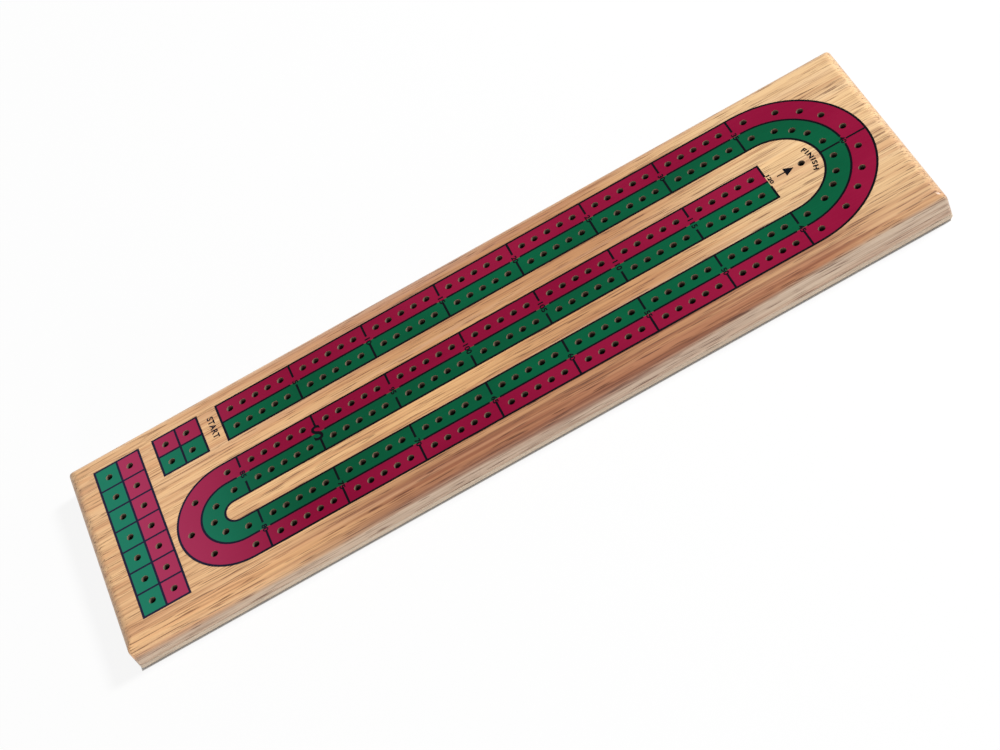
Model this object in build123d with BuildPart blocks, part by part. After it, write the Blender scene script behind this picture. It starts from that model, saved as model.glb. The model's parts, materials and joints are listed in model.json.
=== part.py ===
"""Cribbage board built as a flat wooden box, with a peg drawer that slides out of one end.

Millimetres. +X runs along the board towards the turn beside the finish hole, where the drawer
comes out. +Y points across the board, away from the player, and +Z is up. The origin is the
centre of the footprint, on the surface that the four pads stand on.
"""

import os
from math import cos, radians, sin

from build123d import *

# Pegs
peg_shank_diameter = 3.0
peg_shank_length = 11.0
peg_grip_diameter = 3.8
peg_neck_diameter = 3.3
peg_length = 27.0
peg_tip_chamfer = 0.5
peg_top_round = 1.5

# Peg holes
peg_fit = 0.2
peg_hole_depth = 6.0
hole_pitch = 6.23
holes_per_group = 5

# Printed track: two lanes side by side, seen from above
lane_width = 10.9
divider_space = 4.95
groups_per_leg = 7
far_turn_overrun = 3.3
near_turn_overrun = 7.95
far_turn_angles = (10.8, 30.0, 45.5, 62.0, 83.5)
far_turn_hole_shift = -1.1
near_turn_angles = (-44.5, 0.0, 44.5)
near_turn_end_hole = 6.0
finish_hole_gap = 16.0

# Printed boxes of loose holes
counter_rows = 7
box_cell = 10.8
box_hole_spacing = 10.2
start_hole_shift = -0.7
start_gap = 9.8
turn_gap = 3.4

# Bare wood round the print
left_margin = 12.0
right_margin = 9.2
side_margin = 10.4

# Ink
ink_thickness = 0.1
line_width = 1.0
outer_border_gap = 4.8
inner_border_gap = 6.2
outer_gap_above = 3.2
outer_gap_below = 1.5
inner_gap = 4.2
end_number_gap = 3.2
arrow_gap = 4.4
arrow_length = 7.9
arrow_shaft_width = 0.6
arrow_head_length = 4.2
arrow_head_width = 4.8

# Board
hole_web = 1.0
panel_thickness = 2.5
seam_chamfer = 0.25
top_edge_radius = 4.8
corner_radius = 1.6
bottom_chamfer = 0.3

# Felt pads
pad_diameter = 12.0
pad_thickness = 0.8
pad_inset = 14.0

# Screws that hold the base panel
screw_shank_diameter = 2.8
screw_head_diameter = 6.0
screw_head_height = 1.6
screw_length = 8.5
screw_fit = 0.03
screw_end_inset = 34.0
screw_side_inset = 12.0
recess_width = 0.9
recess_length = 3.2
recess_depth = 1.0

# Drawer
slide_clearance = 0.25
drawer_travel = 92.0
drawer_front_thickness = 5.0
drawer_wall_thickness = 2.5
drawer_floor_thickness = 1.2
peg_headroom = 0.5
peg_row_pitch = 5.5
peg_side_space = 3.0
peg_back_space = 13.0
peg_lift = 0.05
pegs_per_colour = 3
rear_gap = 3.4
channel_corner_radius = 3.0
pull_groove_width = 26.0
pull_groove_height = 2.0
pull_groove_depth = 1.6

# Pin that stops the drawer
stop_pin_diameter = 2.0
stop_head_diameter = 4.4
stop_head_height = 0.9
stop_inset = 12.0
stop_slot_clearance = 0.3
slot_end_web = 8.0

# Sizes worked out from the ones above
peg_hole_diameter = peg_shank_diameter + peg_fit
group_length = holes_per_group * hole_pitch + divider_space
leg_length = groups_per_leg * group_length

drawer_height = drawer_floor_thickness + peg_grip_diameter + peg_headroom
channel_height = drawer_height + 2 * slide_clearance
block_thickness = channel_height + hole_web + peg_hole_depth

drawer_inner_width = 2 * pegs_per_colour * peg_row_pitch + 2 * peg_side_space
drawer_width = drawer_inner_width + 2 * drawer_wall_thickness
channel_width = drawer_width + 2 * slide_clearance
drawer_length = stop_inset + drawer_travel + slot_end_web
channel_length = drawer_length + rear_gap

near_turn_reach = near_turn_overrun + 2.5 * lane_width
board_length = (
    left_margin + 2 * box_cell + turn_gap + near_turn_reach
    + leg_length + far_turn_overrun + 4 * lane_width + right_margin
)
board_width = 8 * lane_width + 2 * side_margin
counter_row = 8 * lane_width / counter_rows

# Heights
panel_bottom = pad_thickness
block_bottom = panel_bottom + panel_thickness
board_top = block_bottom + block_thickness
drawer_bottom_z = block_bottom + slide_clearance
drawer_floor_top = drawer_bottom_z + drawer_floor_thickness
drawer_top_z = drawer_bottom_z + drawer_height

# Places along the board
right_end = board_length / 2
leg_end_x = right_end - right_margin - 4 * lane_width - far_turn_overrun
start_x = leg_end_x - leg_length
far_turn_x = leg_end_x + far_turn_overrun
near_turn_x = start_x - near_turn_overrun
near_turn_y = -1.5 * lane_width
finish_x = leg_end_x + finish_hole_gap
counter_x = left_margin + box_cell - right_end
start_box_x = start_x - start_gap - box_cell

front_back_face = right_end - drawer_front_thickness
drawer_rear = right_end - drawer_length
stop_x = right_end - stop_inset
slot_width = stop_pin_diameter + 2 * stop_slot_clearance
slot_front = stop_x + slot_width / 2
slot_rear = stop_x - drawer_travel - slot_width / 2


def leg_holes(y):
    """Hole centres of one straight leg of the track."""
    centres = []
    for group in range(groups_per_leg):
        group_x = start_x + (group + 0.5) * group_length
        for place in range(holes_per_group):
            step = place - (holes_per_group - 1) / 2
            centres.append((group_x + step * hole_pitch, y))
    return centres


def lane_holes(lanes_out):
    """Hole centres of one lane, which runs lanes_out lane widths from the board's centre line."""
    far_radius = lanes_out * lane_width
    near_radius = (lanes_out - 1.5) * lane_width
    centres = leg_holes(far_radius) + leg_holes(-far_radius) + leg_holes(near_turn_y + near_radius)
    for angle in far_turn_angles:
        for side in (-1, 1):
            centres.append((
                far_turn_x + far_turn_hole_shift + far_radius * cos(radians(angle)),
                side * far_radius * sin(radians(angle)),
            ))
    for angle in near_turn_angles:
        centres.append((
            near_turn_x - near_radius * cos(radians(angle)),
            near_turn_y + near_radius * sin(radians(angle)),
        ))
    for side in (-1, 1):
        centres.append((start_x - near_turn_end_hole, near_turn_y + side * near_radius))
    return centres


def box_holes(box_x, rows, row_height, middle_y):
    """Hole centres of a printed box two cells wide."""
    centres = []
    for row in range(rows):
        y = middle_y + (row - (rows - 1) / 2) * row_height
        for side in (-0.5, 0.5):
            centres.append((box_x + side * box_hole_spacing, y))
    return centres


def draw_lane(lanes_out):
    """Draw the line that runs lanes_out lane widths from the centre line, inside a BuildLine."""
    far_radius = lanes_out * lane_width
    near_radius = (lanes_out - 1.5) * lane_width
    Line((start_x, far_radius), (far_turn_x, far_radius))
    CenterArc((far_turn_x, 0), far_radius, 90, -180)
    Line((far_turn_x, -far_radius), (near_turn_x, -far_radius))
    CenterArc((near_turn_x, near_turn_y), near_radius, 270, -180)
    Line((near_turn_x, near_turn_y + near_radius), (leg_end_x, near_turn_y + near_radius))


track_holes = lane_holes(3.5) + lane_holes(2.5)
start_box_y = 3 * lane_width
start_holes = box_holes(start_box_x + start_hole_shift, 2, lane_width, start_box_y)
counter_holes = box_holes(counter_x, counter_rows, counter_row, 0)
finish_hole = [(finish_x, 0)]
peg_holes = track_holes + start_holes + counter_holes + finish_hole
print(len(peg_holes), "peg holes; board", board_length, "x", board_width, "x", board_top)

# Every round hole in plan, to cut the block and to keep the ink clear of them
with BuildSketch() as hole_area:
    with Locations(*peg_holes):
        Circle(peg_hole_diameter / 2)

# Printed lines: lane edges with gaps at the counts, dividers, box outlines and the arrow
border = 3 * lane_width
outer_counts = [(start_x, -border)]
for group in range(1, groups_per_leg + 1):
    outer_counts.append((start_x + group * group_length, border))
    outer_counts.append((start_x + group * group_length, -border))
inner_counts = [(start_x + group * group_length, 0) for group in range(groups_per_leg)]

with BuildSketch() as line_area:
    for lanes_out in (2, 3, 4):
        with BuildLine():
            draw_lane(lanes_out)
        trace(line_width=line_width)
    # the border between the lanes stops at each count
    with Locations(*outer_counts):
        Rectangle(outer_border_gap, 2 * line_width, mode=Mode.SUBTRACT)
    with Locations(*inner_counts):
        Rectangle(inner_border_gap, 2 * line_width, mode=Mode.SUBTRACT)
    with Locations((far_turn_x + border, 0)):
        Rectangle(2 * line_width, outer_border_gap, mode=Mode.SUBTRACT)
    # dividers, each broken where its count stands
    with BuildLine():
        for x, y in outer_counts:
            Line((x, y + outer_gap_above), (x, y + lane_width))
            Line((x, y - outer_gap_below), (x, y - lane_width))
        for x, y in inner_counts:
            Line((x, y + inner_gap), (x, y + lane_width))
            Line((x, y - inner_gap), (x, y - lane_width))
        Line((leg_end_x, end_number_gap), (leg_end_x, lane_width + line_width / 2))
        Line((leg_end_x, -end_number_gap), (leg_end_x, -lane_width - line_width / 2))
        Line((far_turn_x + border - lane_width, 0), (far_turn_x + border - outer_gap_below, 0))
        Line((far_turn_x + border + outer_gap_below, 0), (far_turn_x + border + lane_width, 0))
    trace(line_width=line_width)
    # closed end of the track at the start
    with Locations((start_x, start_box_y)):
        Rectangle(line_width, 2 * lane_width + line_width)
    # grids of the two boxes
    for box_x, middle_y, rows, row_height in (
        (start_box_x, start_box_y, 2, lane_width),
        (counter_x, 0, counter_rows, counter_row),
    ):
        with Locations(*[(box_x + side * box_cell, middle_y) for side in (-1, 0, 1)]):
            Rectangle(line_width, rows * row_height + line_width)
        row_lines = [middle_y + (row - rows / 2) * row_height for row in range(rows + 1)]
        with Locations(*[(box_x, y) for y in row_lines]):
            Rectangle(2 * box_cell + line_width, line_width)
    # arrow from the last leg to the finish hole
    arrow_tail = leg_end_x + arrow_gap
    arrow_tip = arrow_tail + arrow_length
    arrow_neck = arrow_tip - arrow_head_length
    with BuildLine():
        Line((arrow_tail, 0), (arrow_neck, 0))
    trace(line_width=arrow_shaft_width)
    with BuildLine():
        Polyline(
            (arrow_neck, -arrow_head_width / 2), (arrow_tip, 0), (arrow_neck, arrow_head_width / 2),
            close=True,
        )
    make_face()

# Board block: the solid playing board, drilled from above and routed from below for the drawer
with BuildPart() as board_block:
    with BuildSketch(Plane.XY.offset(block_bottom)):
        Rectangle(board_length, board_width)
    extrude(amount=block_thickness)
    fillet(board_block.faces().sort_by(Axis.Z)[-1].edges(), radius=top_edge_radius)
    # the rounded top edges meet in a mitre at each corner, and the corner is then eased
    corners = board_block.edges().filter_by(Axis.Z)
    mitres = board_block.edges().filter_by(GeomType.ELLIPSE)
    fillet(corners + mitres, radius=corner_radius)
    with BuildSketch(Plane.XY.offset(block_bottom)) as channel_area:
        with Locations((right_end - channel_length / 2, 0)):
            Rectangle(channel_length, channel_width)
        fillet(channel_area.vertices().group_by(Axis.X)[0], radius=channel_corner_radius)
    extrude(amount=channel_height, mode=Mode.SUBTRACT)
    with BuildSketch(Plane.XY.offset(board_top)):
        add(hole_area.sketch)
    extrude(amount=-peg_hole_depth, mode=Mode.SUBTRACT)
    with BuildSketch(Plane.XY.offset(block_bottom)):
        with GridLocations(right_end - screw_end_inset, board_width - 2 * screw_side_inset, 3, 2):
            Circle(screw_shank_diameter / 2 + screw_fit)
    extrude(amount=screw_length - panel_thickness + screw_fit, mode=Mode.SUBTRACT)
board_block.part.label = "board_block"

# Base panel: closes the drawer channel from below
with BuildPart() as base_panel:
    with BuildSketch(Plane.XY.offset(panel_bottom)):
        RectangleRounded(board_length, board_width, corner_radius)
    extrude(amount=panel_thickness)
    chamfer(base_panel.faces().sort_by(Axis.Z)[-1].edges(), length=seam_chamfer)
    chamfer(base_panel.faces().sort_by(Axis.Z)[0].edges(), length=bottom_chamfer)
    with Locations(Plane((0, 0, panel_bottom), z_dir=(0, 0, -1))):
        with GridLocations(right_end - screw_end_inset, board_width - 2 * screw_side_inset, 3, 2):
            CounterSinkHole(
                screw_shank_diameter / 2 + screw_fit, screw_head_diameter / 2 + screw_fit,
                depth=panel_thickness,
            )
    with Locations(Plane((stop_x, 0, panel_bottom), z_dir=(0, 0, -1))):
        CounterBoreHole(
            stop_pin_diameter / 2 + screw_fit, stop_head_diameter / 2 + screw_fit, stop_head_height,
            depth=panel_thickness,
        )
base_panel.part.label = "base_panel"

# Base screws: countersunk wood screws with a cross recess, heads flush with the panel
from_below = (Align.CENTER, Align.CENTER, Align.MIN)
with BuildPart() as base_screws:
    with GridLocations(right_end - screw_end_inset, board_width - 2 * screw_side_inset, 3, 2):
        with Locations((0, 0, panel_bottom)):
            Cone(
                screw_head_diameter / 2, screw_shank_diameter / 2, screw_head_height,
                align=from_below,
            )
            Cylinder(screw_shank_diameter / 2, screw_length, align=from_below)
            Box(recess_width, recess_length, recess_depth, align=from_below, mode=Mode.SUBTRACT)
            Box(recess_length, recess_width, recess_depth, align=from_below, mode=Mode.SUBTRACT)
base_screws.part.label = "base_screws"

# Stop pin: stands up through the panel into the slot in the drawer's floor
with BuildPart() as drawer_stop_pin:
    with Locations((stop_x, 0, panel_bottom)):
        Cylinder(stop_head_diameter / 2, stop_head_height, align=from_below)
        Cylinder(stop_pin_diameter / 2, drawer_floor_top - peg_lift - panel_bottom, align=from_below)
drawer_stop_pin.part.label = "drawer_stop_pin"

# Printed lanes and boxes: thin skins of ink on the block, each in its own colour
with BuildPart() as red_print:
    with BuildSketch(Plane.XY.offset(board_top)):
        with BuildLine():
            draw_lane(3.5)
        trace(line_width=lane_width)
        with Locations((start_box_x, start_box_y + lane_width / 2)):
            Rectangle(2 * box_cell, lane_width)
        with Locations((counter_x + box_cell / 2, 0)):
            Rectangle(box_cell, counter_rows * counter_row)
        add(line_area.sketch, mode=Mode.SUBTRACT)
        add(hole_area.sketch, mode=Mode.SUBTRACT)
    extrude(amount=ink_thickness)
red_print.part.label = "red_print"

with BuildPart() as green_print:
    with BuildSketch(Plane.XY.offset(board_top)):
        with BuildLine():
            draw_lane(2.5)
        trace(line_width=lane_width)
        with Locations((start_box_x, start_box_y - lane_width / 2)):
            Rectangle(2 * box_cell, lane_width)
        with Locations((counter_x - box_cell / 2, 0)):
            Rectangle(box_cell, counter_rows * counter_row)
        add(line_area.sketch, mode=Mode.SUBTRACT)
        add(hole_area.sketch, mode=Mode.SUBTRACT)
    extrude(amount=ink_thickness)
green_print.part.label = "green_print"

with BuildPart() as line_print:
    with BuildSketch(Plane.XY.offset(board_top)):
        add(line_area.sketch)
    extrude(amount=ink_thickness)
line_print.part.label = "line_print"

# Drawer floor: thin sheet with the slot that runs along the stop pin
with BuildPart() as drawer_floor:
    with BuildSketch(Plane.XY.offset(drawer_bottom_z)):
        with Locations(((drawer_rear + front_back_face) / 2, 0)):
            Rectangle(front_back_face - drawer_rear, drawer_width)
        with Locations(((slot_rear + slot_front) / 2, 0)):
            SlotOverall(slot_front - slot_rear, slot_width, mode=Mode.SUBTRACT)
    extrude(amount=drawer_floor_thickness)
drawer_floor.part.label = "drawer_floor"

# Drawer front: flush with the end of the board, with a groove for a fingernail
with BuildPart() as drawer_front:
    with BuildSketch(Plane.XY.offset(drawer_bottom_z)):
        with Locations(((front_back_face + right_end) / 2, 0)):
            Rectangle(drawer_front_thickness, drawer_width)
    extrude(amount=drawer_height)
    chamfer(drawer_front.faces().sort_by(Axis.X)[-1].edges(), length=seam_chamfer)
    with BuildSketch(Plane.YZ.offset(right_end)):
        with Locations((0, (drawer_bottom_z + drawer_top_z) / 2)):
            SlotOverall(pull_groove_width, pull_groove_height)
    extrude(amount=-pull_groove_depth, mode=Mode.SUBTRACT)
drawer_front.part.label = "drawer_front"

# Drawer sides and back, glued on the floor and to each other
wall_height = drawer_top_z - drawer_floor_top
side_y = (drawer_width - drawer_wall_thickness) / 2

with BuildPart() as drawer_left_side:
    with Locations(((drawer_rear + front_back_face) / 2, side_y, drawer_floor_top)):
        Box(front_back_face - drawer_rear, drawer_wall_thickness, wall_height, align=from_below)
drawer_left_side.part.label = "drawer_left_side"

with BuildPart() as drawer_right_side:
    with Locations(((drawer_rear + front_back_face) / 2, -side_y, drawer_floor_top)):
        Box(front_back_face - drawer_rear, drawer_wall_thickness, wall_height, align=from_below)
drawer_right_side.part.label = "drawer_right_side"

with BuildPart() as drawer_back:
    with Locations((drawer_rear + drawer_wall_thickness / 2, 0, drawer_floor_top)):
        Box(drawer_wall_thickness, drawer_inner_width, wall_height, align=from_below)
drawer_back.part.label = "drawer_back"

# One peg, upright on its tip: a plain shank, then a grip that swells to a rounded top
with BuildPart() as peg:
    with BuildSketch(Plane.XZ):
        with BuildLine():
            outline = Polyline(
                (0, 0),
                (peg_shank_diameter / 2 - peg_tip_chamfer, 0),
                (peg_shank_diameter / 2, peg_tip_chamfer),
                (peg_shank_diameter / 2, peg_shank_length),
                (peg_neck_diameter / 2, peg_shank_length),
                (peg_grip_diameter / 2, peg_length - peg_top_round),
            )
            top_arc = TangentArc(
                outline @ 1, (peg_grip_diameter / 2 - peg_top_round, peg_length), tangent=(0, 1),
            )
            Polyline(top_arc @ 1, (0, peg_length), (0, 0))
        make_face()
    revolve(axis=Axis.Z)

# The pegs lie loose in the back of the drawer, each turned a little its own way
peg_axis_z = drawer_floor_top + peg_lift + peg_grip_diameter / 2
peg_middle_x = drawer_rear + drawer_wall_thickness + peg_back_space + peg_length / 2
peg_turns = {"green": (4.0, -2.0, 3.0), "red": (-3.0, 2.5, -1.5)}
loose_pegs = {}
for side, colour in ((-1, "green"), (1, "red")):
    for number in range(pegs_per_colour):
        turn = radians(peg_turns[colour][number])
        heads_in = 1 if number % 2 else -1
        along = (heads_in * cos(turn), heads_in * sin(turn), 0)
        middle = (peg_middle_x, side * (number + 0.5) * peg_row_pitch, peg_axis_z)
        lying = Plane(origin=middle, x_dir=(0, 0, 1), z_dir=along).offset(-peg_length / 2)
        with BuildPart() as loose_peg:
            with Locations(lying):
                add(peg.part)
        loose_peg.part.label = f"{colour}_peg_{number + 1}"
        loose_pegs[loose_peg.part.label] = loose_peg.part

# Felt pads under the corners
pads = {}
for end, end_name in ((-1, "start"), (1, "drawer")):
    for side, side_name in ((-1, "near"), (1, "far")):
        with BuildPart() as felt_pad:
            with Locations((end * (right_end - pad_inset), side * (board_width / 2 - pad_inset), 0)):
                Cylinder(pad_diameter / 2, pad_thickness, align=from_below)
        felt_pad.part.label = f"felt_pad_{end_name}_{side_name}"
        pads[felt_pad.part.label] = felt_pad.part

os.makedirs("parts", exist_ok=True)
export_step(board_block.part, "parts/board_block.step")
export_step(base_panel.part, "parts/base_panel.step")
export_step(base_screws.part, "parts/base_screws.step")
export_step(drawer_stop_pin.part, "parts/drawer_stop_pin.step")
export_step(red_print.part, "parts/red_print.step")
export_step(green_print.part, "parts/green_print.step")
export_step(line_print.part, "parts/line_print.step")
export_step(drawer_floor.part, "parts/drawer_floor.step")
export_step(drawer_front.part, "parts/drawer_front.step")
export_step(drawer_left_side.part, "parts/drawer_left_side.step")
export_step(drawer_right_side.part, "parts/drawer_right_side.step")
export_step(drawer_back.part, "parts/drawer_back.step")
for name, piece in (loose_pegs | pads).items():
    export_step(piece, f"parts/{name}.step")
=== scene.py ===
"""A wooden cribbage board with a peg drawer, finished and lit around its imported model.

Lengths are in metres in the part's own frame: +X runs along the board to the drawer's end, +Y
away from the player and +Z up, with the origin on the table under the middle of the board.
Named lengths of the object itself are in millimetres, and are multiplied by MM where they are
used.
"""

import json
import math
from typing import NamedTuple

import bmesh
import bpy
from mathutils import Matrix, Quaternion, Vector

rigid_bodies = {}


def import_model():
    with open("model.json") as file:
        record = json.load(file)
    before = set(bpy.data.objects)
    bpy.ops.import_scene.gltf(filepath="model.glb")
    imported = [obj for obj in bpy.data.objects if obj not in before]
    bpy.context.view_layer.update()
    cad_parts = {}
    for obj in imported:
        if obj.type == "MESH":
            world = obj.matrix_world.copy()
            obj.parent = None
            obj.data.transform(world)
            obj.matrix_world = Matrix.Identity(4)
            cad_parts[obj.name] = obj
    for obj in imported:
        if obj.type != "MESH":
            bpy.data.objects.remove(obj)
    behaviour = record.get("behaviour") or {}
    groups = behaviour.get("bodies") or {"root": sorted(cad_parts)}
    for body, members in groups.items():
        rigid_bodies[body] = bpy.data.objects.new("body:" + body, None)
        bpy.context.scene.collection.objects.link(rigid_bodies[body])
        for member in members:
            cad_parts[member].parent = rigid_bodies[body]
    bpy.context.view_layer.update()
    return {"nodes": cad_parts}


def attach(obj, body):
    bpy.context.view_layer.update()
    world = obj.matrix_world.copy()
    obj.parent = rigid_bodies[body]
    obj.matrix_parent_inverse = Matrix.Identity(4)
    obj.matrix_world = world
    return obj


MM = 0.001

# The camera of the photograph, fitted to the printed track
CAMERA_AT = (0.00575, -0.67041, 0.71901)
CAMERA_LOOKS_AT = (-0.00331, -0.02223, 0.01659)
CAMERA_ROLL = math.radians(-29.72)
CAMERA_LENS = 83.095
CAMERA_SENSOR = 36.0
CAMERA_CLIP_START = 0.01

# Lamps: each stands in a direction from the board, as far away as LAMP_DISTANCE
LAMP_DISTANCE = 2.4
KEY_DIRECTION = (0.93, 0.10, 0.95)
KEY_SIZE = 0.55
KEY_POWER = 55.0
FILL_DIRECTION = (-0.25, -0.95, 0.12)
FILL_SIZE = 0.5
FILL_POWER = 18.5
AMBIENT = 0.30

# The floor, and the footprint of the board in which it stays dark
FLOOR_HALF = 4.0
FLOOR_LIFT = 0.88
FLOOR_TONE = 0.95
BOARD_HALF_X = 0.1905
BOARD_HALF_Y = 0.0540
FOOTPRINT_FADE = 0.0004

# The board in millimetres: heights, the track's layout and the area that has holes
WOOD_TOP = 16.3
INK_TOP = 16.4
HOLE_BOTTOM = 10.3
HOLE_AREA_HALF_X = 183.0
HOLE_AREA_HALF_Y = 48.0
START_X = -118.3
GROUP_LENGTH = 36.1
GROUPS_PER_LEG = 7
HOLES_PER_GROUP = 5
LEG_END_X = 134.4
OUTER_LEG_Y = 32.7
TURN_CENTRE_X = 137.7

# Printed words: where each is and how large it is, in millimetres. Spacing, boldness and the
# font's depth are in the font's own measure, before a word is stretched to its size.
START_FOOT = (-124.1, 39.4)
START_LENGTH = 12.9
START_HEIGHT = 3.0
START_SPACING = 1.15
START_BOLDER = 0.03
FINISH_FOOT_RADIUS = 16.65
FINISH_HEIGHT = 2.4
FINISH_MIDDLE_ANGLE = math.radians(-1.5)
FINISH_HALF_ANGLE = math.radians(23.5)
FINISH_SPACING = 1.25
FINISH_BOLDER = 0.04
COUNT_HEIGHT = 2.5
COUNT_DIGIT_LENGTH = 1.95
COUNT_BOLDER = 0.03
TURN_COUNT_X = 170.4
LAST_COUNT_X = 135.7
LAST_COUNT_Y = 0.55
LAST_COUNT_HEIGHT = 1.7
LAST_COUNT_LENGTH = 5.6
LAST_COUNT_BOLDER = 0.04
SKUNK_COUNT = 90
SKUNK_MARK_X = -82.5
SKUNK_MARK_HEIGHT = 8.4
SKUNK_MARK_WIDTH = 4.4
SKUNK_MARK_BOLDER = 0.015
LETTER_THICKNESS = 0.06
LETTER_JOIN = 0.002
FONT_DEPTH = 0.05
FONT_DETAIL = 4

# Noise: its average, the range that most of it lies in, and the least detail
NOISE_AVERAGE = 0.5
NOISE_MIDDLE = (0.3, 0.7)
FINE_DETAIL = 1.0


def srgb(red, green, blue):
    """A colour given as it shows on screen, 0 to 255, as the linear colour that a shader takes."""
    linear = []
    for value in (red, green, blue):
        share = value / 255
        linear.append(share / 12.92 if share <= 0.04045 else ((share + 0.055) / 1.055) ** 2.4)
    return (*linear, 1.0)


class Layer(NamedTuple):
    """One noise in a material: how often it repeats in a metre along X and across it, its
    detail, the values between which its tone comes in, and how strong the tone gets."""
    along: float
    across: float
    detail: float
    low: float
    high: float
    share: float = 1.0


class Graph:
    """The node tree of one material, with a short call for each kind of node it needs."""

    def __init__(self, name):
        self.material = bpy.data.materials.new(name)
        self.material.use_nodes = True
        self.tree = self.material.node_tree
        self.tree.nodes.clear()
        coordinates = self.tree.nodes.new("ShaderNodeTexCoord")
        self.place = coordinates.outputs["Object"]
        self.facing = coordinates.outputs["Normal"]

    def set_socket(self, socket, value):
        """Links a value that is a socket, and writes any other value into the socket."""
        if isinstance(value, bpy.types.NodeSocket):
            self.tree.links.new(value, socket)
        else:
            socket.default_value = value

    def node(self, kind, inputs, **settings):
        node = self.tree.nodes.new(kind)
        for name, value in settings.items():
            setattr(node, name, value)
        for name, value in inputs.items():
            self.set_socket(node.inputs[name], value)
        return node

    def math(self, operation, *values):
        return self.node("ShaderNodeMath", dict(enumerate(values)), operation=operation).outputs[0]

    def plus(self, first, second):
        return self.math("ADD", first, second)

    def minus(self, first, second):
        return self.math("SUBTRACT", first, second)

    def times(self, first, *others):
        for other in others:
            first = self.math("MULTIPLY", first, other)
        return first

    def split(self, vector):
        return self.node("ShaderNodeSeparateXYZ", {0: vector}).outputs

    def noise(self, vector, repeats, detail=2.0, roughness=0.5):
        """Noise from 0 to 1 that repeats about so many times a metre along X, Y and Z."""
        stretched = self.node("ShaderNodeVectorMath", {0: vector, 1: repeats}, operation="MULTIPLY")
        inputs = {"Vector": stretched.outputs["Vector"], "Scale": 1.0, "Detail": detail,
                  "Roughness": roughness}
        return self.node("ShaderNodeTexNoise", inputs).outputs[0]

    def layer_noise(self, vector, layer):
        return self.noise(vector, (layer.along, layer.across, layer.across), layer.detail)

    def fade(self, value, low, high, start=0.0, end=1.0):
        """Goes smoothly from start to end as value goes from low to high, and no further."""
        inputs = {"Value": value, "From Min": low, "From Max": high, "To Min": start, "To Max": end}
        node = self.node("ShaderNodeMapRange", inputs, interpolation_type="SMOOTHSTEP")
        return node.outputs[0]

    def layer_share(self, noise, layer):
        return self.fade(noise, layer.low, layer.high, 0.0, layer.share)

    def layer_tone(self, vector, layer):
        return self.layer_share(self.layer_noise(vector, layer), layer)

    def fade_mm(self, length, span, start=0.0, end=1.0):
        """A fade over a span that is given as two lengths in millimetres."""
        return self.fade(length, span[0] * MM, span[1] * MM, start, end)

    def mix(self, factor, first, second, blend="MIX"):
        node = self.node("ShaderNodeMix", {}, data_type="RGBA", blend_type=blend)
        sockets = {socket.identifier: socket for socket in node.inputs}
        self.set_socket(sockets["Factor_Float"], factor)
        self.set_socket(sockets["A_Color"], first)
        self.set_socket(sockets["B_Color"], second)
        return next(out for out in node.outputs if out.identifier == "Result_Color")

    def bump(self, height, depth):
        """A surface normal for a height of 0 to 1, where 1 stands out by depth millimetres."""
        inputs = {"Height": height, "Strength": 1.0, "Distance": depth * MM}
        return self.node("ShaderNodeBump", inputs).outputs[0]

    def finish(self, **inputs):
        """Ends the material in a Principled shader. A name's underscores stand for spaces."""
        named = {name.replace("_", " "): value for name, value in inputs.items()}
        shader = self.node("ShaderNodeBsdfPrincipled", named)
        self.node("ShaderNodeOutputMaterial", {"Surface": shader.outputs[0]})
        return self.material


# The board's wood -------------------------------------------------------------------------

# Ground colours, before the figure shades them
WOOD_PALE = srgb(235, 185, 127)
WOOD_TAN = srgb(193, 138, 92)
WOOD_MILKY = srgb(206, 162, 132)
# Paler still at the start's end: a painted pool of light
WOOD_START_PAINTED_LIGHT = srgb(250, 203, 150)
WOOD_DRAWER_END = srgb(244, 210, 158)
WOOD_HEART = srgb(172, 116, 82)
# Greyish sapwood of the near side, made paler and greyer with a painted reflection of the pale
# floor
WOOD_SAP_AND_PAINTED_REFLECTION = srgb(204, 182, 160)
WOOD_END_GRAIN = srgb(150, 100, 64)
WOOD_PORE = srgb(104, 68, 44)
WOOD_DRILLED = srgb(158, 138, 118)
# Near black: painted shade at the bottoms of the peg holes
HOLE_PAINTED_SHADE = srgb(26, 20, 20)

# Shades of the figure, multiplied onto the ground
NO_SHADE = (1.0, 1.0, 1.0, 1.0)
ROSY_SHADE = (0.86, 0.74, 0.70, 1.0)
LATE_SHADE = (0.60, 0.48, 0.44, 1.0)
FIBRE_SHADE = (0.52, 0.42, 0.38, 1.0)
PORE_SHADE = (0.28, 0.20, 0.17, 1.0)
VEIN_SHADE = (0.66, 0.54, 0.50, 1.0)

# Noises of the ground and of the figure
TINT = Layer(5.0, 34.0, 3.0, 0.34, 0.66)
MILKY = Layer(4.0, 150.0, 2.0, 0.46, 0.66, 0.7)
STREAK = Layer(9.0, 330.0, 3.0, 0.44, 0.68, 0.8)
VEIN = Layer(3.5, 380.0, 3.0, 0.48, 0.60)
FIBRE = Layer(34.0, 1300.0, 3.0, 0.46, 0.70, 0.7)
PORE = Layer(70.0, 1700.0, 1.0, 0.61, 0.70)
PORE_SHARE = 0.8
PORE_IN_LATE_WOOD = 0.03

# Yearly rings around a pith that lies above the board, in millimetres. The grain slopes and
# sways along the board. Late wood is the last part of each ring, from 0 to 1.
PITH_Y = 26.0
PITH_Z = 62.0
RING_GAP = 3.1
RING_UNEVENNESS = 2.2
RING_REPEATS = (1.5, 60.0, 60.0)
GRAIN_SLOPE = 0.018
GRAIN_SWAY = 16.0
SWAY_REPEATS = (3.2, 9.0, 9.0)
LATE_WOOD_RISE = (0.25, 0.9)
LATE_WOOD_FALL = (1.0, 0.93)
LATE_WOOD_SHARE = 0.28

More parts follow.
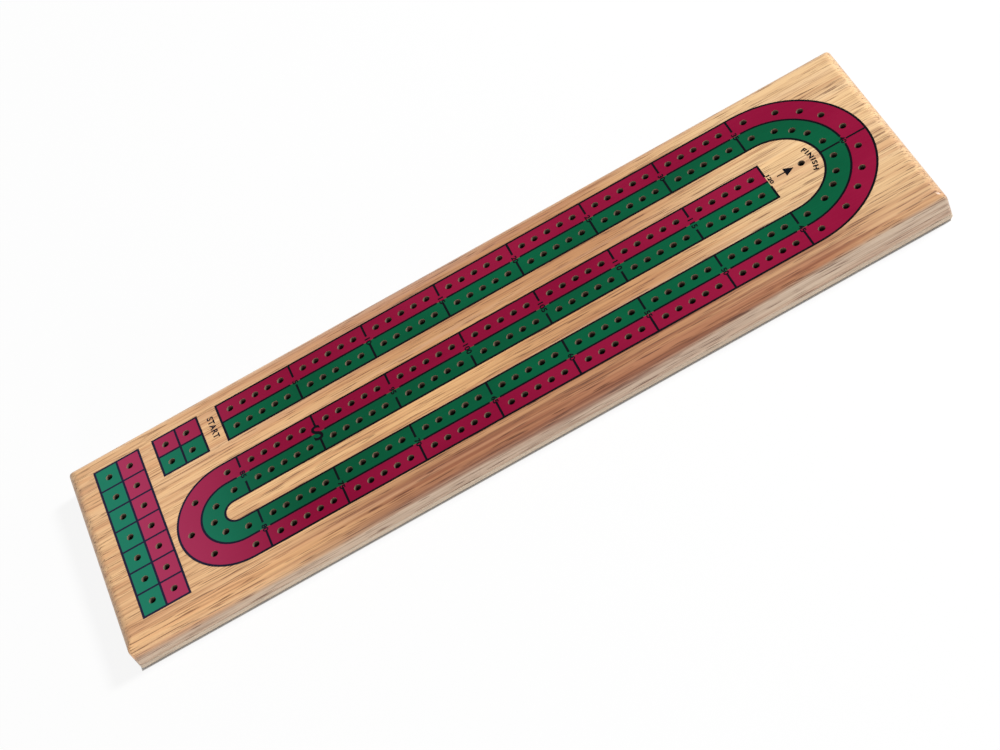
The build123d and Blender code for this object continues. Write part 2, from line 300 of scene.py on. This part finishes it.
# Spans in millimetres from the pith, over which the wood changes towards the near side
HEART_COMES = (77.0, 84.0)
HEART_SHARE = 0.6
HEART_DEEPENS = (87.8, 89.0)
HEART_DEEPER_SHARE = 0.35
HEART_GOES = (95.5, 93.0)
# Over this span the near side turns to sapwood with a painted reflection of the pale floor
SAP_AND_REFLECTION_COMES = (92.8, 95.0)
SAP_AND_REFLECTION_SHARE = 0.92
VEINS_COME = (78.0, 83.0)
VEINS_THIN = (96.0, 94.0)
VEIN_SHARES = (0.15, 0.95)

# Spans in millimetres along the board. Heartwood and veins are full in its middle.
MIDDLE_FROM_START = (-135.0, -40.0)
START_END_SHARE = 0.08
MIDDLE_FROM_DRAWER = (178.0, 130.0)
DRAWER_END_SHARE = 0.25
# Over this span a painted pool of light makes the start's end paler
START_PAINTED_LIGHT_SPAN = (-20.0, -165.0)
START_PAINTED_LIGHT_SHARE = 0.75
DRAWER_PALES = (60.0, 140.0)
DRAWER_PALE_SHARE = 0.65

# Walls of the peg holes: the heights in millimetres over which a painted shade fades from near
# black at their bottoms to their drilled colour, and how far their colour stays from the holes'
# edges
HOLE_PAINTED_SHADE_FADES = (14.0, 16.2)
HOLE_EDGE = 0.05
HOLE_ROUGHNESS = 0.9

# A face shows end grain as it turns from the first of these shares of +X or -X to the second
END_GRAIN_TURN = (0.55, 1.0)
END_GRAIN_SHARE = 0.3

# Relief: shares of its height, and its depths in millimetres in the wood and in the lacquer
FIBRE_RELIEF = 0.3
PORE_RELIEF = 0.7
WOOD_DEPTH = 0.05
LACQUER_DEPTH = 0.012

# Roughness of the wood, and what a pore adds to it
WOOD_ROUGHNESS = 0.40
PORE_ROUGHNESS = 0.2


def ring_radius(graph, x, y, z):
    """The distance from the pith, which drifts along the board with the grain."""
    sway = graph.noise(graph.place, SWAY_REPEATS)
    sway = graph.times(graph.minus(sway, NOISE_AVERAGE), GRAIN_SWAY * MM)
    sway = graph.minus(sway, graph.times(x, GRAIN_SLOPE))
    across = graph.minus(graph.plus(y, sway), PITH_Y * MM)
    below = graph.minus(z, PITH_Z * MM)
    return graph.math("SQRT", graph.plus(graph.times(across, across), graph.times(below, below)))


def late_wood_of(graph, radius):
    """How far each spot is in the late wood of its ring, from 0 to 1."""
    uneven = graph.times(graph.noise(graph.place, RING_REPEATS), RING_UNEVENNESS)
    year = graph.math("FRACT", graph.plus(graph.math("DIVIDE", radius, RING_GAP * MM), uneven))
    return graph.times(graph.fade(year, *LATE_WOOD_RISE), graph.fade(year, *LATE_WOOD_FALL))


def ground_colour(graph, x, radius, middle):
    """The wood's colour without its fine figure: a paler end at the drawer, a start's end made
    paler with a painted pool of light, a brown band of heartwood on the rounded near edge and
    greyish sapwood on the near side, made paler and greyer with a painted reflection of the pale
    floor."""
    colour = graph.mix(graph.layer_tone(graph.place, TINT), WOOD_PALE, WOOD_TAN)
    colour = graph.mix(graph.layer_tone(graph.place, MILKY), colour, WOOD_MILKY)
    colour = graph.mix(
        graph.fade_mm(x, DRAWER_PALES, 0.0, DRAWER_PALE_SHARE), colour, WOOD_DRAWER_END)
    # Painted light: the start's end made paler
    colour = graph.mix(
        graph.fade_mm(x, START_PAINTED_LIGHT_SPAN, 0.0, START_PAINTED_LIGHT_SHARE), colour, WOOD_START_PAINTED_LIGHT)
    heart = graph.plus(graph.fade_mm(radius, HEART_COMES, 0.0, HEART_SHARE),
                       graph.fade_mm(radius, HEART_DEEPENS, 0.0, HEART_DEEPER_SHARE))
    heart = graph.times(heart, graph.fade_mm(radius, HEART_GOES), middle)
    colour = graph.mix(heart, colour, WOOD_HEART)
    # Sapwood on the near side, with a painted reflection of the pale floor in its pale grey
    return graph.mix(graph.times(graph.fade_mm(radius, SAP_AND_REFLECTION_COMES), SAP_AND_REFLECTION_SHARE), colour, WOOD_SAP_AND_PAINTED_REFLECTION)


def figure_shade(graph, radius, middle, late_wood, fibre, pore):
    """The streaks, rings, fibres, pores and veins, as one shade to multiply onto the ground."""
    vein = graph.times(
        graph.layer_tone(graph.place, VEIN), graph.fade_mm(radius, VEINS_COME),
        graph.fade_mm(radius, VEINS_THIN, *VEIN_SHARES), middle)
    shade = graph.mix(graph.layer_tone(graph.place, STREAK), NO_SHADE, ROSY_SHADE)
    for share, tone in (
        (graph.times(late_wood, LATE_WOOD_SHARE), LATE_SHADE),
        (graph.layer_share(fibre, FIBRE), FIBRE_SHADE),
        (graph.times(pore, PORE_SHARE), PORE_SHADE),
        (vein, VEIN_SHADE),
    ):
        shade = graph.mix(1.0, shade, graph.mix(share, NO_SHADE, tone), "MULTIPLY")
    return shade


def inside_drilling(graph, x, y, z):
    """1 on the walls of the peg holes and 0 on the board's outer faces."""
    above = graph.math("GREATER_THAN", z, (HOLE_BOTTOM - HOLE_EDGE) * MM)
    below = graph.math("LESS_THAN", z, (WOOD_TOP - HOLE_EDGE) * MM)
    within_x = graph.math("LESS_THAN", graph.math("ABSOLUTE", x), HOLE_AREA_HALF_X * MM)
    within_y = graph.math("LESS_THAN", graph.math("ABSOLUTE", y), HOLE_AREA_HALF_Y * MM)
    return graph.times(above, below, within_x, within_y)


def board_wood(name, has_holes):
    """Straight-grained tan hardwood under gloss lacquer. The figure is solid, so that it runs
    over the rounded edges and shows as end grain on the ends."""
    graph = Graph(name)
    x, y, z = graph.split(graph.place)
    radius = ring_radius(graph, x, y, z)
    late_wood = late_wood_of(graph, radius)
    fibre = graph.layer_noise(graph.place, FIBRE)
    more_pores = graph.times(late_wood, PORE_IN_LATE_WOOD)
    pore = graph.plus(graph.layer_noise(graph.place, PORE), more_pores)
    pore = graph.layer_share(pore, PORE)
    middle = graph.times(graph.fade_mm(x, MIDDLE_FROM_START, START_END_SHARE, 1.0),
                         graph.fade_mm(x, MIDDLE_FROM_DRAWER, DRAWER_END_SHARE, 1.0))

    colour = ground_colour(graph, x, radius, middle)
    shade = figure_shade(graph, radius, middle, late_wood, fibre, pore)
    colour = graph.mix(1.0, colour, shade, "MULTIPLY")
    turned = graph.math("ABSOLUTE", graph.split(graph.facing)[0])
    end_grain = graph.fade(turned, *END_GRAIN_TURN, 0.0, END_GRAIN_SHARE)
    colour = graph.mix(end_grain, colour, WOOD_END_GRAIN)

    height = graph.minus(graph.times(fibre, FIBRE_RELIEF), graph.times(pore, PORE_RELIEF))
    roughness = graph.plus(WOOD_ROUGHNESS, graph.times(pore, PORE_ROUGHNESS))
    if has_holes:
        drilled = inside_drilling(graph, x, y, z)
        # The hole walls get painted shade, darker towards the bottom, over their drilled wood
        # colour
        wall_with_painted_shade = graph.mix(graph.fade_mm(z, HOLE_PAINTED_SHADE_FADES), HOLE_PAINTED_SHADE, WOOD_DRILLED)
        colour = graph.mix(drilled, colour, wall_with_painted_shade)
        roughness = graph.math("MAXIMUM", roughness, graph.times(drilled, HOLE_ROUGHNESS))
    return graph.finish(
        Base_Color=colour, Roughness=roughness, Specular_IOR_Level=0.3,
        Normal=graph.bump(height, WOOD_DEPTH), Coat_Weight=0.30, Coat_Roughness=0.30,
        Coat_Normal=graph.bump(height, LACQUER_DEPTH))


# Other materials --------------------------------------------------------------------------

# Pairs of tones, which a noise mixes
PANEL_TONES = (srgb(208, 190, 168), srgb(182, 160, 138))
SIDE_TONES = (srgb(232, 204, 160), srgb(206, 168, 120))
CROSS_TONES = (srgb(230, 200, 156), srgb(200, 160, 114))
BRASS_TONES = (srgb(222, 188, 118), srgb(176, 140, 84))
RED_PLASTIC_TONES = (srgb(186, 18, 40), srgb(160, 12, 32))
GREEN_PLASTIC_TONES = (srgb(10, 122, 66), srgb(4, 100, 54))
FELT_TONES = (srgb(26, 30, 28), srgb(62, 66, 62))

# Each ink: its full colour, where it is thin, and where a painted pool of light makes it palest, at
# the start's end
RED_INK = (srgb(134, 6, 50), srgb(156, 26, 64), srgb(172, 54, 92))
GREEN_INK = (srgb(0, 80, 50), srgb(2, 102, 66), srgb(32, 124, 98))
LINE_INK = (srgb(0, 0, 8), srgb(6, 4, 18), srgb(34, 32, 58))
INK_PAINTED_LIGHT_SPAN = (-90.0, -180.0)

PLAIN_TINT = Layer(5.0, 40.0, 2.0, 0.35, 0.65, 0.5)
PLAIN_STREAK = Layer(9.0, 420.0, 3.0, 0.45, 0.70, 0.6)
PLAIN_PORE = Layer(70.0, 2300.0, 1.0, 0.62, 0.72)
PLAIN_PORE_SHARE = 0.4
INK_PATCH = Layer(14.0, 22.0, 3.0, 0.35, 0.75, 0.5)
INK_FIBRE = Layer(26.0, 1100.0, 2.0, 0.48, 0.72, 0.12)
INK_SPECK_REPEATS = (1500.0, 1500.0, 1500.0)
PLASTIC_FLOW = Layer(120.0, 420.0, 3.0, 0.35, 0.7)
PLASTIC_SCUFF_REPEATS = (2600.0, 700.0, 2600.0)
BRASS_DULLING = Layer(260.0, 260.0, 3.0, 0.4, 0.7)
BRASS_TURNING_REPEATS = (3200.0, 600.0, 900.0)
FELT_FIBRE_REPEATS = (2200.0, 2200.0, 1400.0)
FELT_FIBRE_DETAIL = 4.0
FELT_FIBRE_CRISPNESS = 0.7
FELT_FIBRE_RANGE = (0.35, 0.7)
FELT_TUFT_REPEATS = (500.0, 500.0, 500.0)

# Roughness where its noise is low and where it is high
PLAIN_ROUGHNESS = (0.50, 0.64)
INK_ROUGHNESS = (0.38, 0.46)
PLASTIC_ROUGHNESS = (0.22, 0.38)
PLASTIC_SCUFF_RANGE = (0.45, 0.75)
BRASS_ROUGHNESS = (0.24, 0.42)

# Relief: shares of its height, and its depths in millimetres
PLAIN_STREAK_RELIEF = 0.5
PLAIN_PORE_RELIEF = 0.5
INK_SPECK_RELIEF = 0.3
PLAIN_DEPTH = 0.06
INK_DEPTH = 0.006
PLASTIC_DEPTH = 0.01
BRASS_DEPTH = 0.01
FELT_DEPTH = 0.15

PANEL_COAT = 0.2
SANDED_COAT = 0.0


def plain_wood(name, tones, coat, grain_along_y=False):
    """A thin board of plain wood. Its grain runs along X unless it is told to run along Y."""
    pale, dark = tones
    graph = Graph(name)
    place = graph.place
    if grain_along_y:
        x, y, z = graph.split(place)
        place = graph.node("ShaderNodeCombineXYZ", {0: y, 1: x, 2: z}).outputs[0]
    streak = graph.layer_noise(place, PLAIN_STREAK)
    pore = graph.layer_tone(place, PLAIN_PORE)
    colour = graph.mix(graph.layer_tone(place, PLAIN_TINT), pale, dark)
    colour = graph.mix(graph.layer_share(streak, PLAIN_STREAK), colour, dark)
    colour = graph.mix(graph.times(pore, PLAIN_PORE_SHARE), colour, WOOD_PORE)
    height = graph.minus(
        graph.times(streak, PLAIN_STREAK_RELIEF), graph.times(pore, PLAIN_PORE_RELIEF))
    return graph.finish(
        Base_Color=colour, Roughness=graph.fade(streak, *NOISE_MIDDLE, *PLAIN_ROUGHNESS),
        Normal=graph.bump(height, PLAIN_DEPTH), Coat_Weight=coat, Coat_Roughness=0.3)


def ink(name, full, thin, painted_light_tone):
    """Printed ink on lacquered wood, a little thinner in patches and over the fibres, and paler
    towards the start's end with a painted pool of light."""
    graph = Graph(name)
    patch = graph.layer_noise(graph.place, INK_PATCH)
    fibre = graph.layer_noise(graph.place, INK_FIBRE)
    speck = graph.noise(graph.place, INK_SPECK_REPEATS, FINE_DETAIL)
    wear = graph.plus(graph.layer_share(patch, INK_PATCH), graph.layer_share(fibre, INK_FIBRE))
    painted_light_share = graph.fade_mm(graph.split(graph.place)[0], INK_PAINTED_LIGHT_SPAN)
    # Painted light: the ink turns paler towards the start's end
    colour = graph.mix(painted_light_share, graph.mix(wear, full, thin), painted_light_tone)
    height = graph.plus(fibre, graph.times(speck, INK_SPECK_RELIEF))
    return graph.finish(
        Base_Color=colour, Roughness=graph.fade(patch, *NOISE_MIDDLE, *INK_ROUGHNESS),
        Specular_IOR_Level=0.04, Normal=graph.bump(height, INK_DEPTH), Coat_Weight=0.03,
        Coat_Roughness=0.12)


def moulded_plastic(name, tones):
    """Shiny moulded plastic with faint flow marks."""
    graph = Graph(name)
    flow = graph.layer_noise(graph.place, PLASTIC_FLOW)
    scuff = graph.noise(graph.place, PLASTIC_SCUFF_REPEATS, FINE_DETAIL)
    return graph.finish(
        Base_Color=graph.mix(graph.layer_share(flow, PLASTIC_FLOW), *tones),
        Roughness=graph.fade(scuff, *PLASTIC_SCUFF_RANGE, *PLASTIC_ROUGHNESS),
        Normal=graph.bump(flow, PLASTIC_DEPTH), Subsurface_Weight=0.05, Subsurface_Scale=0.002)


def plated_brass(name):
    """Brass plate, finely turned and slightly dulled."""
    graph = Graph(name)
    turning = graph.noise(graph.place, BRASS_TURNING_REPEATS)
    dulled = graph.layer_tone(graph.place, BRASS_DULLING)
    return graph.finish(
        Base_Color=graph.mix(dulled, *BRASS_TONES), Metallic=1.0,
        Roughness=graph.fade(turning, *NOISE_MIDDLE, *BRASS_ROUGHNESS),
        Normal=graph.bump(turning, BRASS_DEPTH))


def dark_felt(name):
    """Dense dark felt with loose fibres."""
    graph = Graph(name)
    fibre = graph.noise(
        graph.place, FELT_FIBRE_REPEATS, FELT_FIBRE_DETAIL, FELT_FIBRE_CRISPNESS)
    tuft = graph.noise(graph.place, FELT_TUFT_REPEATS)
    return graph.finish(
        Base_Color=graph.mix(graph.fade(fibre, *FELT_FIBRE_RANGE), *FELT_TONES), Roughness=0.95,
        Sheen_Weight=0.35, Sheen_Roughness=0.5, Specular_IOR_Level=0.15,
        Normal=graph.bump(graph.plus(fibre, tuft), FELT_DEPTH))


def dress(frame):
    """Gives every CAD node its material, and returns that of the printed lines. A node keeps
    its shape and its place."""
    side = plain_wood("sanded_side", SIDE_TONES, SANDED_COAT)
    cross = plain_wood("sanded_cross", CROSS_TONES, SANDED_COAT, grain_along_y=True)
    brass = plated_brass("plated_brass")
    line = ink("line_ink", *LINE_INK)
    by_start = {
        "board_block": board_wood("lacquered_board", has_holes=True),
        "base_panel": plain_wood("lacquered_panel", PANEL_TONES, PANEL_COAT),
        "base_screws": brass,
        "drawer_stop_pin": brass,
        "felt_pad": dark_felt("dark_felt"),
        "red_print": ink("red_ink", *RED_INK),
        "green_print": ink("green_ink", *GREEN_INK),
        "line_print": line,
        "drawer_front": board_wood("lacquered_front", has_holes=False),
        "drawer_left": side,
        "drawer_right": side,
        "drawer_back": cross,
        "drawer_floor": cross,
        "red_peg": moulded_plastic("red_plastic", RED_PLASTIC_TONES),
        "green_peg": moulded_plastic("green_plastic", GREEN_PLASTIC_TONES),
    }
    for name, node in frame["nodes"].items():
        material = next(m for start, m in by_start.items() if name.startswith(start))
        for slot in node.material_slots:
            slot.material = material
    return line


# Printed words ----------------------------------------------------------------------------

def letters(text, length, height, bolder, spacing=1.0):
    """A flat word as a mesh in millimetres: it runs along +X from 0 to length, its letters
    stand along +Y from 0 to height, and it is LETTER_THICKNESS thick along +Z from 0."""
    font = bpy.data.curves.new("word", "FONT")
    font.body = text
    font.extrude = FONT_DEPTH
    font.offset = bolder
    font.resolution_u = FONT_DETAIL
    font.space_character = spacing
    draft = bpy.data.objects.new("word", font)
    bpy.context.scene.collection.objects.link(draft)
    evaluated = draft.evaluated_get(bpy.context.evaluated_depsgraph_get())
    mesh = bpy.data.meshes.new_from_object(evaluated)
    shape = bmesh.new()
    shape.from_mesh(mesh)
    bpy.data.objects.remove(draft)
    bpy.data.curves.remove(font)
    bpy.data.meshes.remove(mesh)
    low = Vector([min(vertex.co[axis] for vertex in shape.verts) for axis in range(3)])
    high = Vector([max(vertex.co[axis] for vertex in shape.verts) for axis in range(3)])
    size = high - low
    scale = Vector((length / size.x, height / size.y, LETTER_THICKNESS / size.z))
    for vertex in shape.verts:
        vertex.co = (vertex.co - low) * scale
    bmesh.ops.remove_doubles(shape, verts=shape.verts, dist=LETTER_JOIN)
    return shape


def crosswise(foot_x, start_y, rest_z):
    """Places a word that reads towards -Y, with its letters' tops towards +X."""
    turn = Matrix(((0, 1, 0, foot_x), (-1, 0, 0, start_y), (0, 0, 1, rest_z), (0, 0, 0, 1)))
    return lambda point: turn @ point


def lengthwise(left_x, foot_y, rest_z):
    """Places a word that reads towards +X, with its letters' tops towards +Y."""
    return lambda point: point + Vector((left_x, foot_y, rest_z))


def on_turn(point):
    """Places the word at the finish on an arc around the far turn's centre, tops outwards."""
    arc = 2 * FINISH_HALF_ANGLE
    length = FINISH_FOOT_RADIUS * arc
    angle = FINISH_MIDDLE_ANGLE + FINISH_HALF_ANGLE - point.x / length * arc
    radius = FINISH_FOOT_RADIUS + point.y
    x = TURN_CENTRE_X + radius * math.cos(angle)
    return Vector((x, radius * math.sin(angle), WOOD_TOP + point.z))


def print_words(name, words, material):
    """Makes one printed piece from (word, placement) pairs. It rides on the board."""
    joined = bmesh.new()
    for shape, placement in words:
        copies = {}
        for vertex in shape.verts:
            copies[vertex] = joined.verts.new(placement(vertex.co) * MM)
        for face in shape.faces:
            joined.faces.new([copies[vertex] for vertex in face.verts])
        shape.free()
    bmesh.ops.recalc_face_normals(joined, faces=joined.faces)
    mesh = bpy.data.meshes.new(name)
    joined.to_mesh(mesh)
    joined.free()
    mesh.materials.append(material)
    piece = bpy.data.objects.new(name, mesh)
    bpy.context.scene.collection.objects.link(piece)
    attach(piece, "board")


def track_counts():
    """The count of holes at each divider of the track: (number, centre X, centre Y)."""
    dividers = [START_X + GROUP_LENGTH * group for group in range(1, GROUPS_PER_LEG)]
    places = [(x, OUTER_LEG_Y) for x in dividers + [LEG_END_X]]
    places.append((TURN_COUNT_X, 0.0))
    places += [(x, -OUTER_LEG_Y) for x in [LEG_END_X] + dividers[::-1] + [START_X]]
    places += [(x, 0.0) for x in [START_X] + dividers]
    return [(HOLES_PER_GROUP * order, x, y) for order, (x, y) in enumerate(places, start=1)]


def print_lettering(material):
    start = letters("START", START_LENGTH, START_HEIGHT, START_BOLDER, START_SPACING)
    print_words("start_word", [(start, crosswise(*START_FOOT, WOOD_TOP))], material)

    arc_length = FINISH_FOOT_RADIUS * 2 * FINISH_HALF_ANGLE
    finish = letters("FINISH", arc_length, FINISH_HEIGHT, FINISH_BOLDER, FINISH_SPACING)
    print_words("finish_word", [(finish, on_turn)], material)

    skunk = letters("S", SKUNK_MARK_WIDTH, SKUNK_MARK_HEIGHT, SKUNK_MARK_BOLDER)
    place = lengthwise(SKUNK_MARK_X - SKUNK_MARK_WIDTH / 2, -SKUNK_MARK_HEIGHT / 2, INK_TOP)
    print_words("skunk_mark", [(skunk, place)], material)

    words = []
    for number, x, y in track_counts():
        if number != SKUNK_COUNT:
            length = COUNT_DIGIT_LENGTH * len(str(number))
            word = letters(str(number), length, COUNT_HEIGHT, COUNT_BOLDER)
            words.append((word, crosswise(x - COUNT_HEIGHT / 2, y + length / 2, INK_TOP)))
    print_words("track_counts", words, material)

    last = letters("120", LAST_COUNT_LENGTH, LAST_COUNT_HEIGHT, LAST_COUNT_BOLDER)
    foot_x = LAST_COUNT_X - LAST_COUNT_HEIGHT / 2
    place = crosswise(foot_x, LAST_COUNT_Y + LAST_COUNT_LENGTH / 2, WOOD_TOP)
    print_words("last_count", [(last, place)], material)


# Studio -----------------------------------------------------------------------------------

def place_camera():
    camera = bpy.data.objects.new("camera", bpy.data.cameras.new("camera"))
    bpy.context.scene.collection.objects.link(camera)
    camera.location = CAMERA_AT
    aim = (Vector(CAMERA_LOOKS_AT) - Vector(CAMERA_AT)).to_track_quat("-Z", "Y")
    camera.rotation_mode = "QUATERNION"
    camera.rotation_quaternion = aim @ Quaternion((0, 0, 1), CAMERA_ROLL)
    camera.data.lens = CAMERA_LENS
    camera.data.sensor_width = CAMERA_SENSOR
    camera.data.clip_start = CAMERA_CLIP_START
    bpy.context.scene.camera = camera


def place_lamp(name, direction, size, power):
    lamp = bpy.data.lights.new(name, "AREA")
    lamp.shape = "DISK"
    lamp.size = size
    lamp.energy = power
    placed = bpy.data.objects.new(name, lamp)
    bpy.context.scene.collection.objects.link(placed)
    placed.location = Vector(direction).normalized() * LAMP_DISTANCE
    placed.rotation_mode = "QUATERNION"
    placed.rotation_quaternion = (-placed.location).to_track_quat("-Z", "Y")
    return placed


def place_lamps():
    """A key lamp beyond the drawer's end, and a low fill lamp on the player's side, which
    leaves no glint on the rounded near edge."""
    place_lamp("key", KEY_DIRECTION, KEY_SIZE, KEY_POWER)
    fill = place_lamp("fill", FILL_DIRECTION, FILL_SIZE, FILL_POWER)
    fill.visible_glossy = False


def direct_rays(tree):
    """1 for camera, mirror and see-through rays, which show the background as white."""
    path = tree.nodes.new("ShaderNodeLightPath")
    total = path.outputs["Is Camera Ray"]
    for kind in ("Is Glossy Ray", "Is Transmission Ray"):
        either = tree.nodes.new("ShaderNodeMath")
        either.operation = "MAXIMUM"
        tree.links.new(total, either.inputs[0])
        tree.links.new(path.outputs[kind], either.inputs[1])
        total = either.outputs[0]
    return total


def light_world():
    world = bpy.data.worlds.new("studio")
    world.use_nodes = True
    bpy.context.scene.world = world
    tree = world.node_tree
    tree.nodes.clear()
    ambient = tree.nodes.new("ShaderNodeBackground")
    ambient.inputs["Strength"].default_value = AMBIENT
    white = tree.nodes.new("ShaderNodeBackground")
    for background in (ambient, white):
        background.inputs["Color"].default_value = (1, 1, 1, 1)
    mixed = tree.nodes.new("ShaderNodeMixShader")
    tree.links.new(direct_rays(tree), mixed.inputs[0])
    tree.links.new(ambient.outputs[0], mixed.inputs[1])
    tree.links.new(white.outputs[0], mixed.inputs[2])
    output = tree.nodes.new("ShaderNodeOutputWorld")
    tree.links.new(mixed.outputs[0], output.inputs["Surface"])


def floor_material():
    """A plain pale material. Direct rays see it lifted towards white, except right under the
    board, and it keeps the shadow."""
    graph = Graph("floor")
    past_edges = []
    for position, half in zip(graph.split(graph.place), (BOARD_HALF_X, BOARD_HALF_Y)):
        distance = graph.math("ABSOLUTE", position)
        past_edges.append(graph.fade(distance, half, half + FOOTPRINT_FADE))
    outside = graph.math("MAXIMUM", *past_edges)
    lift = graph.times(outside, FLOOR_LIFT, direct_rays(graph.tree))
    matt = graph.node("ShaderNodeBsdfDiffuse", {"Color": (FLOOR_TONE, FLOOR_TONE, FLOOR_TONE, 1)})
    glow = graph.node("ShaderNodeEmission", {})
    mixed = graph.node("ShaderNodeMixShader", {0: lift, 1: matt.outputs[0], 2: glow.outputs[0]})
    graph.node("ShaderNodeOutputMaterial", {"Surface": mixed.outputs[0]})
    return graph.material


def lay_floor():
    mesh = bpy.data.meshes.new("floor")
    corners = [(-FLOOR_HALF, -FLOOR_HALF, 0), (FLOOR_HALF, -FLOOR_HALF, 0),
               (FLOOR_HALF, FLOOR_HALF, 0), (-FLOOR_HALF, FLOOR_HALF, 0)]
    mesh.from_pydata(corners, [], [(0, 1, 2, 3)])
    mesh.materials.append(floor_material())
    floor = bpy.data.objects.new("floor", mesh)
    bpy.context.scene.collection.objects.link(floor)


for default in list(bpy.data.objects):
    bpy.data.objects.remove(default)
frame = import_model()
place_camera()
bpy.context.scene.view_settings.view_transform = "Standard"
line_material = dress(frame)
print_lettering(line_material)
lay_floor()
light_world()
place_lamps()
